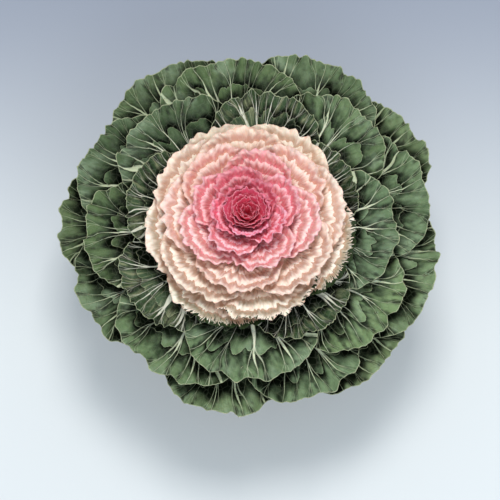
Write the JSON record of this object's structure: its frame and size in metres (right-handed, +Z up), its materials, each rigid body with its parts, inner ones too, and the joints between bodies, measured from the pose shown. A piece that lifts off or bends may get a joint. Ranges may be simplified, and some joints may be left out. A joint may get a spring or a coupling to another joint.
{
  "type": "potted ornamental kale plant",
  "caption": "Ornamental kale in a plain nursery pot: a broad rosette of waved green leaves round a frilled cream and pink crown.",
  "frame": {"origin": "middle of the pot's flat base, where it rests", "axes": "+Z up along the pot and the stem; +Y towards the back of the rosette, its longest side; +X to its right"},
  "size_m": [0.3057, 0.3074, 0.1758],
  "materials": {
    "pot": "moulded, matt terracotta-coloured polypropylene",
    "soil": "moist crumbly potting compost",
    "stem": "pale green waxy stem with leaf scars",
    "heart": "soft crimson leaf tissue",
    "pink_leaf": "soft pink leaf tissue, satin",
    "cream_leaf": "cream to peach leaf tissue, satin",
    "green_leaf": "dark green leaf with a dull waxy bloom"
  },
  "bodies": {
    "root": {"pot": "pot", "soil": "soil", "stem": "stem", "heart": "heart", "pink_leaf_01": "pink_leaf", "pink_leaf_02": "pink_leaf", "pink_leaf_03": "pink_leaf", "pink_leaf_04": "pink_leaf", "pink_leaf_05": "pink_leaf", "pink_leaf_06": "pink_leaf", "pink_leaf_07": "pink_leaf", "pink_leaf_08": "pink_leaf", "pink_leaf_09": "pink_leaf", "pink_leaf_10": "pink_leaf", "pink_leaf_11": "pink_leaf", "pink_leaf_12": "pink_leaf", "pink_leaf_13": "pink_leaf", "pink_leaf_14": "pink_leaf", "cream_leaf_01": "cream_leaf", "cream_leaf_02": "cream_leaf", "cream_leaf_03": "cream_leaf", "cream_leaf_04": "cream_leaf", "cream_leaf_05": "cream_leaf", "cream_leaf_06": "cream_leaf", "cream_leaf_07": "cream_leaf", "cream_leaf_08": "cream_leaf", "cream_leaf_09": "cream_leaf", "cream_leaf_10": "cream_leaf", "cream_leaf_11": "cream_leaf", "cream_leaf_12": "cream_leaf", "cream_leaf_13": "cream_leaf", "cream_leaf_14": "cream_leaf", "cream_leaf_15": "cream_leaf", "green_leaf_01": "green_leaf", "green_leaf_02": "green_leaf", "green_leaf_03": "green_leaf", "green_leaf_04": "green_leaf", "green_leaf_05": "green_leaf", "green_leaf_06": "green_leaf", "green_leaf_07": "green_leaf", "green_leaf_08": "green_leaf", "green_leaf_09": "green_leaf", "green_leaf_10": "green_leaf", "green_leaf_11": "green_leaf", "green_leaf_12": "green_leaf", "green_leaf_13": "green_leaf", "green_leaf_14": "green_leaf", "green_leaf_15": "green_leaf", "green_leaf_16": "green_leaf", "green_leaf_17": "green_leaf", "green_leaf_18": "green_leaf", "green_leaf_19": "green_leaf", "green_leaf_20": "green_leaf", "green_leaf_21": "green_leaf", "green_leaf_22": "green_leaf", "green_leaf_23": "green_leaf", "green_leaf_24": "green_leaf"}
  },
  "joints": []
}
